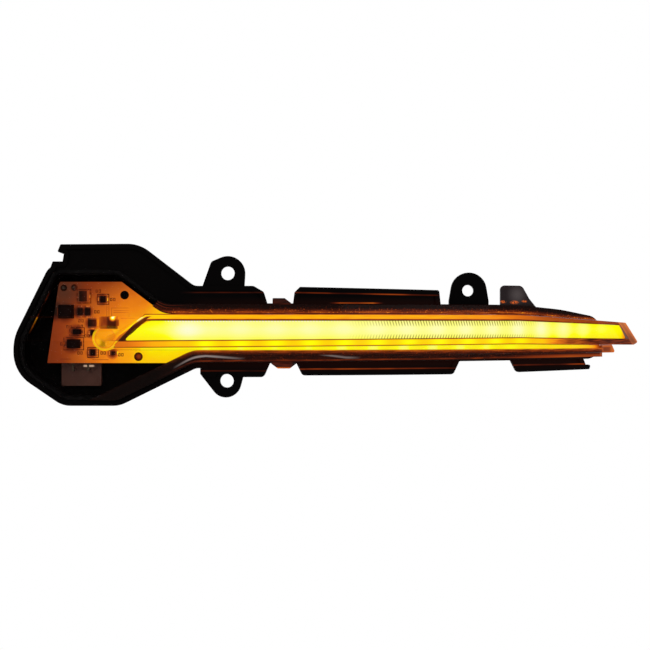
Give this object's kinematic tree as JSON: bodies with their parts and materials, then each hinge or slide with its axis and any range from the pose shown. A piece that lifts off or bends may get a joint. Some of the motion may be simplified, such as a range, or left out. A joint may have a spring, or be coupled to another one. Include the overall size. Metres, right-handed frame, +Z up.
{
  "type": "side repeater lamp",
  "caption": "Curved side repeater lamp for a door mirror: black tray with screw ears, smoked stepped lens, light guides and an LED board in a wide head.",
  "frame": {"origin": "centre of the upper left screw hole, on the front face of the flange", "axes": "+X to the right along the lamp as seen from the front, +Y backwards into the mirror, +Z up"},
  "size_m": [0.2149, 0.0715, 0.0534],
  "materials": {
    "housing": "black moulded plastic, fine satin",
    "lens": "smoke-tinted polished acrylic",
    "seal": "black sealing bead",
    "guide": "clear light guide, lit amber",
    "board": "white solder mask",
    "led": "pale package with an amber cup",
    "solder": "tin solder",
    "socket": "natural white moulded plastic",
    "pin": "tinned brass",
    "chip_resistor": "black film on ceramic, tinned ends",
    "chip_ceramic": "fired brown ceramic, tinned ends",
    "moulded_part": "black moulded epoxy, tinned leads"
  },
  "bodies": {
    "root": {"rear_housing": "housing", "front_lens": "lens", "lens_seal": "seal", "light_guide": "guide", "lower_light_guide": "guide", "circuit_board": "board", "led_packages": "led", "solder_joints": "solder", "plug_socket": "socket", "socket_pins": "pin", "upper_resistor": "chip_resistor", "left_sense_resistor": "chip_resistor", "right_sense_resistor": "chip_resistor", "divider_resistor": "chip_resistor", "lower_resistor": "chip_resistor", "tongue_resistor": "chip_resistor", "input_capacitor": "chip_ceramic", "filter_capacitor": "chip_ceramic", "bypass_capacitor": "chip_ceramic", "input_diode": "moulded_part", "bulk_capacitor": "moulded_part", "clamp_diode": "moulded_part", "regulator": "moulded_part"}
  },
  "joints": []
}
